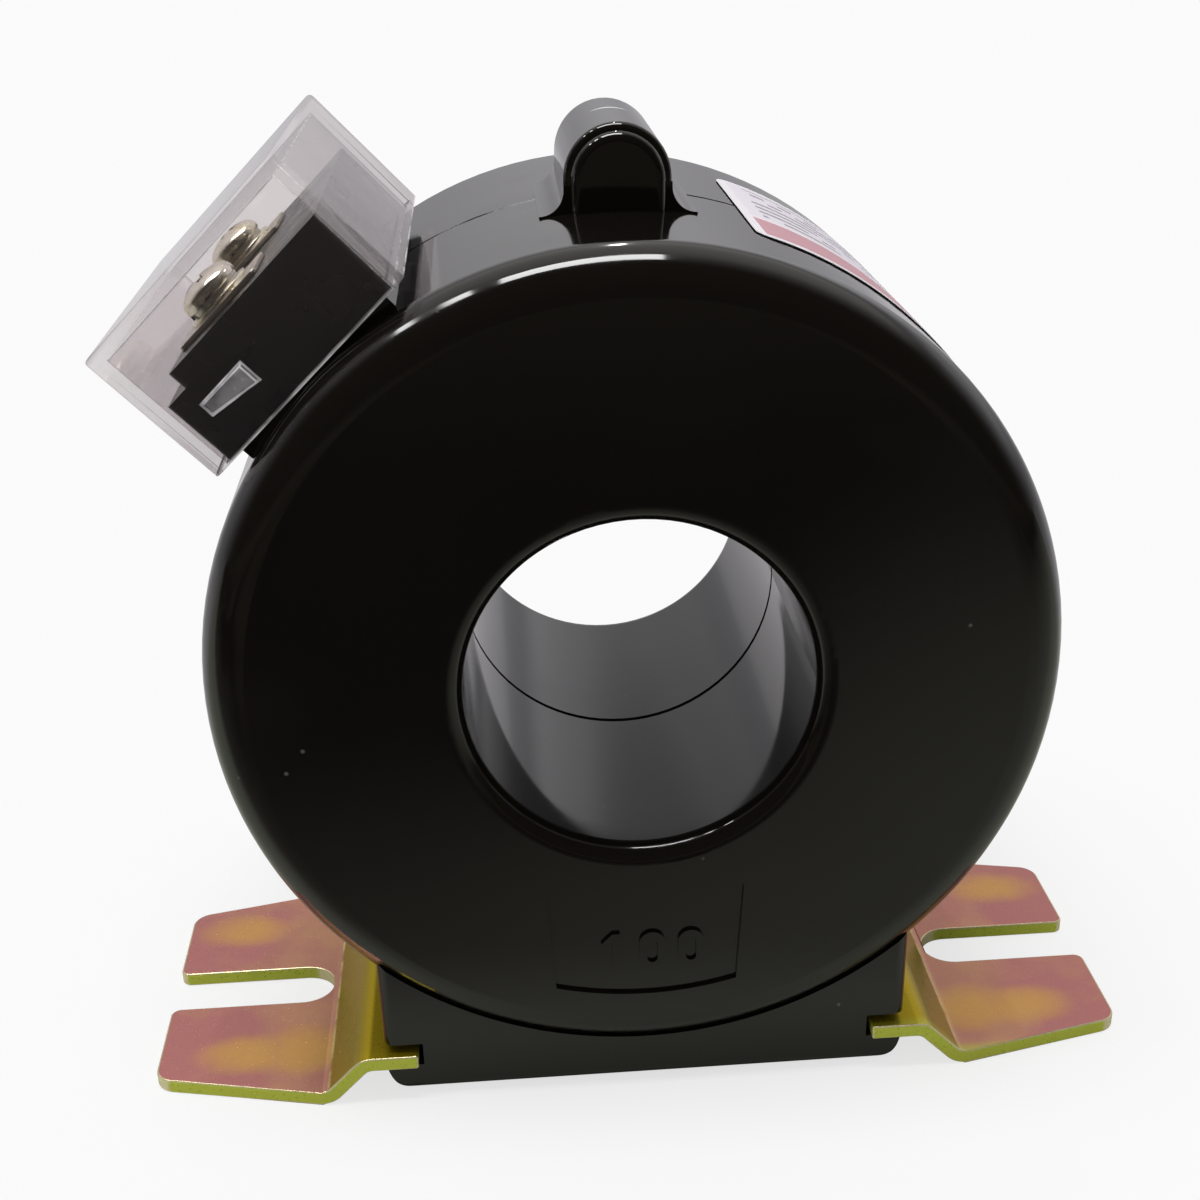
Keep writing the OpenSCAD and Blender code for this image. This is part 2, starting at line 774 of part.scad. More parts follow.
// Plan of a foot: straight over the flange, tapered outside the bend
module foot_plan() {
    w = foot_w / 2;
    e = foot_end_w / 2;
    difference() {
        union() {
            translate([flange_x, -w]) square([flat_x - flange_x, foot_w]);
            round_corners([[flat_x - 0.01, -w], [foot_x, -e], [foot_x, e], [flat_x - 0.01, w]],
                          [0.01, foot_corner_r, foot_corner_r, 0.01]);
        }
        fixing_slot();
    }
}

// Open fixing slot with a round inner end and broken corners at its mouth
module fixing_slot() {
    mouth_r = 1.4;
    end_x = foot_x - slot_l + slot_w / 2;
    translate([end_x, 0]) circle(d = slot_w);
    translate([end_x, -slot_w / 2]) square([slot_l, slot_w]);
    for (s = [-1, 1])
        difference() {
            translate([foot_x - mouth_r, s * (slot_w + mouth_r) / 2 - mouth_r / 2])
                square([2 * mouth_r, mouth_r]);
            translate([foot_x - mouth_r, s * (slot_w / 2 + mouth_r)]) circle(r = mouth_r);
        }
}

module foot() {
    translate([0, foot_y, 0]) intersection() {
        from_to_y(-foot_w, foot_w) foot_section();
        translate([0, 0, foot_z - over]) linear_extrude(joggle + sheet_t + 2 * over) foot_plan();
    }
}

module foot_left() { color([0.78, 0.62, 0.38]) mirror([1, 0, 0]) foot(); }

module foot_right() { color([0.78, 0.62, 0.38]) foot(); }

// ---------- closing screws and label ----------

module closing_screw(x, seat_y, z, l) {
    translate([x, seat_y, z]) along_y() pan_screw(close_d, l, close_head_d, close_head_h, 10);
}

module lug_screw() {
    color([0.70, 0.70, 0.70])
        closing_screw(0, lug_seat_y, lug_z, lug_screw_l);
}

module base_screw_left() {
    color([0.70, 0.70, 0.70])
        closing_screw(-base_screw_x, base_seat_y, base_screw_z, base_screw_l);
}

module base_screw_right() {
    color([0.70, 0.70, 0.70])
        closing_screw(base_screw_x, base_seat_y, base_screw_z, base_screw_l);
}

module rating_label() {
    color([0.93, 0.91, 0.92]) translate([0, label_shift + label_l / 2, 0]) rotate([90, 0, 0])
        rotate([0, 0, 90 - label_start - label_turn]) rotate_extrude(angle = label_turn)
            translate([ring_r + film, 0]) square([label_t, label_l]);
}

front_shell();
rear_shell();
core();
core_insulation();
winding();
outer_wrap();
lead_1();
lead_2();
terminal_block();
terminal_plate_1();
terminal_plate_2();
terminal_nut_1();
terminal_nut_2();
flat_washer_1();
flat_washer_2();
spring_washer_1();
spring_washer_2();
terminal_screw_1();
terminal_screw_2();
terminal_cover();
foot_left();
foot_right();
lug_screw();
base_screw_left();
base_screw_right();
rating_label();
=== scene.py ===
"""A ring-shaped window current transformer, dressed for rendering around its CAD frame.

The sections follow the object as it is put together: shells, coil, terminals, cover, feet,
closing screws and label, and then the plain studio that it stands in.
"""
import json
import math

import bmesh
import bpy
from mathutils import Matrix, Vector


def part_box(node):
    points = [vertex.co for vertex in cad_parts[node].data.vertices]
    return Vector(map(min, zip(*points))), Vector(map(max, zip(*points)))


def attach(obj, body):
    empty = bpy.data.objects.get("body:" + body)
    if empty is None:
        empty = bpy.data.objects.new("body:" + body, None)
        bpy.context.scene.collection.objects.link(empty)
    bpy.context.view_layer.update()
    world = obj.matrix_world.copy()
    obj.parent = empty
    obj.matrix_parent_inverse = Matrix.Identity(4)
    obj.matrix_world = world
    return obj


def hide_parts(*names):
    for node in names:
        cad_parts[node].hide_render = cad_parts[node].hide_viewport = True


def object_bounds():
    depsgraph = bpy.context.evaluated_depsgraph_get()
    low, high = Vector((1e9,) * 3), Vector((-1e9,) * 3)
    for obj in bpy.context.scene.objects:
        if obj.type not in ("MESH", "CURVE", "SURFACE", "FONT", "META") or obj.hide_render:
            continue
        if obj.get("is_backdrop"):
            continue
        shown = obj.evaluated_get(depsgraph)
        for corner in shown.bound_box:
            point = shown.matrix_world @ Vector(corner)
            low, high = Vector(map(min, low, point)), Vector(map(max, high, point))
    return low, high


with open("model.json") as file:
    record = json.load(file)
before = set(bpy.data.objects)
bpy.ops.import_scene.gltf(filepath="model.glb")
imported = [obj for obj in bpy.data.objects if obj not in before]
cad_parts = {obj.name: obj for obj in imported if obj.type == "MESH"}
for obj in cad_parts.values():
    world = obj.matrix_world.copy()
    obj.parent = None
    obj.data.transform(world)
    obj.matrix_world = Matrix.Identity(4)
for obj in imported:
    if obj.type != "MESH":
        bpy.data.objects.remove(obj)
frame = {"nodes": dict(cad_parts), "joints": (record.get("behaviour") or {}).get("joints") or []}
cad_low, cad_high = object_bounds()

# ---------------------------------------------------------------- the two shells
# Two halves injection moulded in black thermoplastic from a polished mould, joined at mid depth.
# The gloss is even, with the faint waves, dust and rub marks of a moulding that has been handled.

mm = 0.001
scene = bpy.context.scene
nodes = frame["nodes"]


def finish(name, color, roughness, metallic=0.0, level=0.5):
    """A new material: its node tree, its shader and the material itself."""
    material = bpy.data.materials.new(name)
    material.use_nodes = True
    tree = material.node_tree
    shader = tree.nodes["Principled BSDF"]
    shader.inputs["Base Color"].default_value = (*color, 1.0)
    shader.inputs["Roughness"].default_value = roughness
    shader.inputs["Metallic"].default_value = metallic
    shader.inputs["Specular IOR Level"].default_value = level
    return material, tree, shader


def add(tree, kind, settings=(), **inputs):
    """A node of that kind, with its settings and its named inputs: values are set, sockets are linked."""
    node = tree.nodes.new(kind)
    for key, value in dict(settings).items():
        setattr(node, key, value)
    for key, value in inputs.items():
        socket = node.inputs[int(key[1:])] if key[0] == "i" and key[1:].isdigit() else node.inputs[key]
        if isinstance(value, bpy.types.NodeSocket):
            tree.links.new(value, socket)
        else:
            socket.default_value = value
    return node


def place(tree):
    """Object coordinates, in metres."""
    return add(tree, "ShaderNodeTexCoord").outputs["Object"]


def noise(tree, where, scale, detail=3.0, roughness=0.5, distortion=0.0):
    """Cloudy noise from 0 to 1 over Object coordinates."""
    return add(
        tree, "ShaderNodeTexNoise",
        Vector=where, Scale=scale, Detail=detail, Roughness=roughness, Distortion=distortion,
    ).outputs["Fac"]


def spread(tree, value, low, high, to_low=0.0, to_high=1.0, smooth=True):
    """value's range from low to high, mapped to another range."""
    settings = {"interpolation_type": "SMOOTHSTEP" if smooth else "LINEAR"}
    return add(
        tree, "ShaderNodeMapRange", settings, i0=value, i1=low, i2=high, i3=to_low, i4=to_high
    ).outputs[0]


def blend_colors(tree, factor, one, other):
    """one where factor is 0 and other where it is 1: each is a colour or a socket."""
    node = tree.nodes.new("ShaderNodeMix")
    node.data_type = "RGBA"
    for socket, value in ((node.inputs[0], factor), (node.inputs[6], one), (node.inputs[7], other)):
        if isinstance(value, bpy.types.NodeSocket):
            tree.links.new(value, socket)
        elif socket.type == "RGBA":
            socket.default_value = (*value, 1.0)
        else:
            socket.default_value = value
    return node.outputs[2]


def math_of(tree, operation, one, other=0.0):
    """one and other joined by a maths operation."""
    return add(tree, "ShaderNodeMath", {"operation": operation}, i0=one, i1=other).outputs[0]


def times(tree, one, other):
    """one times other."""
    return math_of(tree, "MULTIPLY", one, other)


def bumps(tree, shader, height, distance, strength=1.0):
    """Gives the shader a bump from a height between 0 and 1, distance metres deep."""
    node = add(tree, "ShaderNodeBump", Height=height, Distance=distance, Strength=strength)
    tree.links.new(node.outputs["Normal"], shader.inputs["Normal"])


def dress(material, *names):
    """Puts a material on CAD nodes."""
    for name in names:
        for held in nodes[name].material_slots:
            held.material = material


def glossy_black():
    """Polished black thermoplastic with faint waves, dust specks and rub marks."""
    black = (0.006, 0.005, 0.004)
    dust_grey = (0.09, 0.085, 0.075)
    material, tree, shader = finish("polished black moulding", black, 0.1, level=0.6)
    where = place(tree)
    rubs = noise(tree, where, 45.0, 6.0, 0.62)
    haze = spread(tree, rubs, 0.42, 0.72, 0.07, 0.16)
    tree.links.new(haze, shader.inputs["Roughness"])
    cells = add(tree, "ShaderNodeTexVoronoi", Vector=where, Scale=240.0)
    dust = spread(tree, cells.outputs["Distance"], 0.03, 0.09, 1.0, 0.0)
    thinned = math_of(tree, "GREATER_THAN", noise(tree, where, 60.0, 2.0), 0.6)
    specks = times(tree, dust, thinned)
    tree.links.new(blend_colors(tree, specks, black, dust_grey), shader.inputs["Base Color"])
    waves = noise(tree, where, 28.0, 1.0, 0.4)
    bumps(tree, shader, waves, 0.08 * mm)
    return material


dress(glossy_black(), "front_shell", "rear_shell")

# ---------------------------------------------------------------- core, winding and leads
# A ring wound from silicon steel strip, boxed in pressed board, wound with enamelled copper wire
# and bound with woven tape. Two PVC leads run from the winding to the terminals.


def banded(name, one, other, pitch, roughness, metallic=0.0, axis="X"):
    """A finish in fine bands, such as wound strip, wire or tape."""
    material, tree, shader = finish(name, one, roughness, metallic)
    settings = {"wave_type": "BANDS", "bands_direction": axis}
    wave_period = 0.314                         # of a wave texture at a scale of 1, in metres
    bands = add(
        tree, "ShaderNodeTexWave", settings,
        Vector=place(tree), Scale=wave_period / pitch, Distortion=0.4, Detail=1.0,
    ).outputs["Fac"]
    tree.links.new(blend_colors(tree, bands, one, other), shader.inputs["Base Color"])
    bumps(tree, shader, bands, pitch / 4)
    return material


dress(banded("wound steel strip", (0.42, 0.43, 0.45), (0.28, 0.29, 0.31), 0.4 * mm, 0.35, 1.0), "core")
dress(banded("pressed board", (0.60, 0.47, 0.28), (0.52, 0.40, 0.23), 1.5 * mm, 0.8), "core_insulation")
dress(banded("enamelled wire", (0.55, 0.22, 0.09), (0.36, 0.13, 0.05), 0.8 * mm, 0.25, 0.9, "Y"), "winding")
dress(banded("woven tape", (0.78, 0.74, 0.62), (0.68, 0.64, 0.52), 0.6 * mm, 0.85), "outer_wrap")


def insulated(name, color):
    """Soft PVC over a wire, with a slight bloom."""
    material, tree, shader = finish(name, color, 0.45)
    bloom = noise(tree, place(tree), 400.0, 4.0)
    tree.links.new(spread(tree, bloom, 0.3, 0.7, 0.38, 0.55), shader.inputs["Roughness"])
    return material


dress(insulated("red PVC", (0.42, 0.02, 0.015)), "lead_1")
dress(insulated("blue PVC", (0.02, 0.06, 0.30)), "lead_2")

# ---------------------------------------------------------------- terminal block and its hardware
# A satin black block pressed on the shells' seat. Two nickel-plated plates, square nuts, flat and
# spring washers and M4 pan-head screws clamp the secondary wires.


def satin_black():
    """Black moulding from a finely spark-eroded mould."""
    material, tree, shader = finish("satin black moulding", (0.009, 0.0075, 0.007), 0.3, level=0.4)
    where = place(tree)
    grain = noise(tree, where, 900.0, 5.0, 0.6)
    handled = noise(tree, where, 90.0, 3.0)
    tree.links.new(spread(tree, handled, 0.35, 0.7, 0.26, 0.42), shader.inputs["Roughness"])
    bumps(tree, shader, grain, 0.02 * mm)
    return material


def stands_for(piece, name, *materials):
    """Makes a piece's modifiers plain mesh, gives it the materials, and puts it in a CAD node's place,
    hiding the node.
    """
    seen = piece.evaluated_get(bpy.context.evaluated_depsgraph_get())
    mesh = bpy.data.meshes.new_from_object(seen)
    piece.modifiers.clear()
    piece.data = mesh
    while len(mesh.materials) < len(materials):
        mesh.materials.append(None)
    for index, material in enumerate(materials):
        mesh.materials[index] = material
    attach(piece, "cover" if name == "terminal_cover" else "transformer")
    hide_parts(name)
    return piece


def rounded_edges(piece, width, segments=2, limit=35.0, clamped=True, shortest=0.0):
    """Rounds a piece's sharp edges and keeps its flats flat.

    With shortest set, edges no longer than that and edges of sliver faces stay sharp.
    """
    sliver = 0.02 * mm * mm
    piece.data.polygons.foreach_set("use_smooth", [True] * len(piece.data.polygons))
    edges = piece.modifiers.new("edges", "BEVEL")
    edges.width = width
    edges.segments = segments
    edges.limit_method = "ANGLE"
    edges.angle_limit = math.radians(limit)
    edges.use_clamp_overlap = clamped
    if shortest:
        shape = bmesh.new()
        shape.from_mesh(piece.data)
        weight = shape.edges.layers.float.new("bevel_weight_edge")
        for edge in shape.edges:
            sharp = len(edge.link_faces) == 2 and edge.calc_face_angle() > math.radians(limit)
            broad = min(face.calc_area() for face in edge.link_faces) > sliver
            edge[weight] = 1.0 if sharp and broad and edge.calc_length() > shortest else 0.0
        shape.to_mesh(piece.data)
        shape.free()
        edges.limit_method = "WEIGHT"
    flats = piece.modifiers.new("flats", "WEIGHTED_NORMAL")
    flats.weight = 80


def softened(name, width, material, segments=2, limit=35.0, others=(), clamped=True, shortest=0.0):
    """A copy of a CAD node with its edges rounded; the first of the others is the edges' finish."""
    shape = bmesh.new()
    shape.from_mesh(nodes[name].data)
    bmesh.ops.remove_doubles(shape, verts=shape.verts, dist=0.001 * mm)
    bmesh.ops.dissolve_limit(
        shape, angle_limit=math.radians(0.5), verts=shape.verts, edges=shape.edges, delimit={"NORMAL"}
    )
    mesh = bpy.data.meshes.new(name + "_finished")
    shape.to_mesh(mesh)
    shape.free()
    piece = bpy.data.objects.new(name + "_finished", mesh)
    scene.collection.objects.link(piece)
    rounded_edges(piece, width, segments, limit, clamped, shortest)
    if others:
        for one in (material, *others):
            mesh.materials.append(one)
        piece.modifiers["edges"].material = 1
    return stands_for(piece, name, material, *others)


softened("terminal_block", 0.3 * mm, satin_black())


def plated(name, color, roughness):
    """Bright plating with fine scratches and a slight warm stain."""
    material, tree, shader = finish(name, color, roughness, 1.0)
    where = place(tree)
    stain = noise(tree, where, 220.0, 5.0, 0.6)
    warm = tuple(channel * tint for channel, tint in zip(color, (0.86, 0.80, 0.62)))
    stained = blend_colors(tree, spread(tree, stain, 0.42, 0.7), color, warm)
    tree.links.new(stained, shader.inputs["Base Color"])
    tree.links.new(spread(tree, stain, 0.3, 0.7, roughness, roughness + 0.16), shader.inputs["Roughness"])
    bumps(tree, shader, noise(tree, where, 1600.0, 3.0), 0.01 * mm)
    return material


nickel = plated("bright nickel", (0.94, 0.90, 0.79), 0.17)
plate_metal = plated("nickelled plate", (0.66, 0.64, 0.58), 0.26)
spring_metal = plated("sprung steel", (0.62, 0.60, 0.54), 0.26)
nut_metal = plated("zinc on nuts", (0.66, 0.66, 0.64), 0.34)
for end in ("1", "2"):
    softened("terminal_plate_" + end, 0.1 * mm, plate_metal)
    softened("terminal_nut_" + end, 0.2 * mm, nut_metal)
    softened("flat_washer_" + end, 0.08 * mm, nickel)
    softened("spring_washer_" + end, 0.1 * mm, spring_metal)

# The screws: a pan head with a cross recess, a core and a rolled thread that runs round it.
pull = Vector(next(joint for joint in frame["joints"] if joint["name"] == "cover_pull")["axis"])
lean = math.atan2(-pull.x, pull.z)
terminals = Matrix.Rotation(-lean, 4, "Y")


def box_along(name, axes):
    """The lowest and highest corners of a CAD node in turned axes."""
    back = axes.inverted()
    points = [back @ vertex.co for vertex in nodes[name].data.vertices]
    return (
        Vector([min(point[i] for point in points) for i in range(3)]),
        Vector([max(point[i] for point in points) for i in range(3)]),
    )


def screw_tree():
    """Geometry Nodes for a pan-head screw: its seat at z = 0, its head above and its shank below."""
    tree = bpy.data.node_groups.new("pan head screw", "GeometryNodeTree")
    sizes = {
        "Head radius": 4.0 * mm, "Head height": 2.4 * mm, "Thread radius": 2.0 * mm,
        "Length": 8.0 * mm, "Pitch": 0.7 * mm, "Recess turn": 0.0,
    }
    tree.interface.new_socket("Screw", in_out="OUTPUT", socket_type="NodeSocketGeometry")
    for label, value in sizes.items():
        tree.interface.new_socket(label, in_out="INPUT", socket_type="NodeSocketFloat").default_value = value
    tree.interface.new_socket("Metal", in_out="INPUT", socket_type="NodeSocketMaterial")
    given = tree.nodes.new("NodeGroupInput").outputs

    def at(x=0.0, y=0.0, z=0.0):
        return add(tree, "ShaderNodeCombineXYZ", X=x, Y=y, Z=z).outputs[0]

    def moved(shape, to, scale=(1.0, 1.0, 1.0), turned=(0.0, 0.0, 0.0)):
        return add(
            tree, "GeometryNodeTransform", Geometry=shape, Translation=to, Scale=scale, Rotation=turned
        ).outputs[0]

    wide, tall = given["Head radius"], given["Head height"]
    rim_share, dome_share = 0.3, 0.985          # of the head's height, and of its radius
    arm_long, arm_thick, arm_deep = 1.2, 0.27, 1.1  # the recess: of the radius, and of the height
    rim_height = times(tree, tall, rim_share)
    drum = add(tree, "GeometryNodeMeshCylinder", Vertices=64, Radius=wide, Depth=rim_height)
    rim = moved(drum.outputs["Mesh"], at(z=times(tree, rim_height, 0.5)))
    ball = add(tree, "GeometryNodeMeshUVSphere", Segments=64, Rings=32, Radius=1.0)
    squat = math_of(tree, "SUBTRACT", tall, rim_height)
    slim = times(tree, wide, dome_share)
    dome = moved(ball.outputs["Mesh"], at(z=rim_height), at(slim, slim, squat))
    lump = add(tree, "GeometryNodeMeshBoolean", {"operation": "UNION", "solver": "EXACT"})
    for part in (rim, dome):
        tree.links.new(part, lump.inputs["Mesh 2"])
    ample = times(tree, wide, 4.0)
    block = add(tree, "GeometryNodeMeshCube", Size=at(ample, ample, times(tree, tall, 2.0)))
    above = moved(block.outputs["Mesh"], at(z=tall))
    head = add(tree, "GeometryNodeMeshBoolean", {"operation": "INTERSECT", "solver": "EXACT"})
    for part in (lump.outputs["Mesh"], above):
        tree.links.new(part, head.inputs["Mesh 2"])
    cut = add(tree, "GeometryNodeMeshBoolean", {"operation": "DIFFERENCE", "solver": "EXACT"})
    tree.links.new(head.outputs["Mesh"], cut.inputs["Mesh 1"])
    arm_size = at(times(tree, wide, arm_long), times(tree, wide, arm_thick), times(tree, tall, arm_deep))
    for quarter in (0.0, math.pi / 2):
        arm = add(tree, "GeometryNodeMeshCube", Size=arm_size).outputs["Mesh"]
        angle = math_of(tree, "ADD", given["Recess turn"], quarter)
        tree.links.new(moved(arm, at(z=tall), turned=at(z=angle)), cut.inputs["Mesh 2"])
    long, pitch = given["Length"], given["Pitch"]
    crest = times(tree, pitch, 0.5)
    root = math_of(tree, "SUBTRACT", given["Thread radius"], crest)
    stem = add(tree, "GeometryNodeMeshCylinder", Vertices=32, Radius=root, Depth=long)
    stem = moved(stem.outputs["Mesh"], at(z=times(tree, long, -0.5)))
    threaded = math_of(tree, "SUBTRACT", long, times(tree, pitch, 1.5))
    helix = add(
        tree, "GeometryNodeCurveSpiral", Resolution=28, Height=threaded,
        Rotations=math_of(tree, "DIVIDE", threaded, pitch), **{"Start Radius": root, "End Radius": root}
    )
    ridge = add(tree, "GeometryNodeCurvePrimitiveCircle", Resolution=3, Radius=crest)
    swept = add(
        tree, "GeometryNodeCurveToMesh", Curve=helix.outputs["Curve"],
        **{"Profile Curve": ridge.outputs["Curve"], "Fill Caps": True}
    )
    thread = moved(swept.outputs["Mesh"], at(z=times(tree, long, -1.0)))
    whole = add(tree, "GeometryNodeJoinGeometry")
    for part in (cut.outputs["Mesh"], stem, thread):
        tree.links.new(part, whole.inputs[0])
    real = add(tree, "GeometryNodeRealizeInstances", Geometry=whole.outputs[0])
    coated = add(tree, "GeometryNodeSetMaterial", Geometry=real.outputs[0], Material=given["Metal"])
    tree.links.new(coated.outputs[0], tree.nodes.new("NodeGroupOutput").inputs[0])
    return tree


screw_maker = screw_tree()


def pan_screw(name, seat, sizes):
    """A screw in a CAD screw's place: seat is the matrix of its bearing face, its axis along Z."""
    piece = bpy.data.objects.new(name + "_finished", bpy.data.meshes.new(name + "_finished"))
    scene.collection.objects.link(piece)
    maker = piece.modifiers.new("screw", "NODES")
    maker.node_group = screw_maker
    for socket in screw_maker.interface.items_tree:
        if socket.in_out == "INPUT":
            maker[socket.identifier] = {**sizes, "Metal": nickel}[socket.name]
    edges = piece.modifiers.new("edges", "BEVEL")
    edges.width = 0.1 * mm
    edges.segments = 2
    edges.limit_method = "ANGLE"
    edges.angle_limit = math.radians(50.0)
    stands_for(piece, name, nickel)
    piece.data.polygons.foreach_set("use_smooth", [True] * len(piece.data.polygons))
    piece.data.set_sharp_from_angle(angle=math.radians(40.0))
    piece.data.transform(seat)


m4_thread, m4_pitch = 1.96 * mm, 0.7 * mm
for end, turned in (("1", 20.0), ("2", 65.0)):
    low, high = box_along("terminal_screw_" + end, terminals)
    bearing = box_along("spring_washer_" + end, terminals)[1].z
    middle = (low + high) / 2
    pan_screw("terminal_screw_" + end, terminals @ Matrix.Translation((middle.x, middle.y, bearing)), {
        "Head radius": (high.x - low.x) / 2, "Head height": high.z - bearing, "Thread radius": m4_thread,
        "Length": bearing - low.z, "Pitch": m4_pitch, "Recess turn": math.radians(turned),
    })

# ---------------------------------------------------------------- clear terminal cover
# One thin-walled cap injection moulded in clear polycarbonate, open towards the ring. It slips
# over the block, and a finger pulls it off by the wedge on each end wall.


def clear_plastic():
    """Clear moulding with a lilac grey tint: thin seen straight on, mirroring along its walls."""
    material, tree, shader = finish("clear polycarbonate", (0.66, 0.60, 0.615), 0.0)
    shader.inputs["IOR"].default_value = 1.0
    shader.inputs["Transmission Weight"].default_value = 0.96
    shader.inputs["Coat Weight"].default_value = 1.0
    shader.inputs["Coat IOR"].default_value = 1.55
    shader.inputs["Coat Roughness"].default_value = 0.06
    grazing = add(tree, "ShaderNodeLayerWeight", Blend=0.5).outputs["Facing"]
    tree.links.new(spread(tree, grazing, 0.3, 0.9, 0.40, 0.97), shader.inputs["Alpha"])
    depth = add(tree, "ShaderNodeVolumeAbsorption", Color=(0.30, 0.24, 0.26, 1.0), Density=6.0)
    tree.links.new(depth.outputs[0], tree.nodes["Material Output"].inputs["Volume"])
    return material


def painted_light_plastic(name, thin, thick):
    """The same plastic drawn whitish and partly opaque: a painted highlight along the cover's rounded edges,
    and painted refracted light on the faces of the pull wedges.
    """
    material, tree, shader = finish(name, (0.88, 0.85, 0.87), 0.2)
    light_patches = noise(tree, place(tree), 260.0, 3.0)
    tree.links.new(spread(tree, light_patches, 0.3, 0.7, 0.12, 0.3), shader.inputs["Roughness"])
    tree.links.new(spread(tree, light_patches, 0.35, 0.65, thin, thick), shader.inputs["Alpha"])
    return material


# Painted highlights: whitish, partly opaque plastic on the cover's rounded edges and on its pull wedges.
painted_highlights = (painted_light_plastic("painted edge highlight", 0.3, 0.9), painted_light_plastic("painted grip highlight", 0.03, 0.34))
cap = softened(
    "terminal_cover", 0.2 * mm, clear_plastic(), others=painted_highlights, clamped=False, shortest=1.0 * mm
)
clear_slot, grip_slot = 0, 2
end_wall_area = 100 * mm * mm
proud = 0.05 * mm
end_walls = [
    face.center.y for face in cap.data.polygons
    if abs(face.normal.y) > 0.99 and face.area > end_wall_area
]
wall_low, wall_high = min(end_walls) - proud, max(end_walls) + proud
# The wedges' faces take the painted grip highlight, which stands in for light refracted in the clear wedges.
for face in cap.data.polygons:
    if face.material_index == clear_slot and not wall_low < face.center.y < wall_high:
        face.material_index = grip_slot         # the wedges that a finger pulls on

# ---------------------------------------------------------------- feet
# Each foot is blanked from 2 mm steel with an open slot, joggled in a press, zinc plated and given
# a yellow chromate, which turns pink and gold on the flats and green on the cut edges.


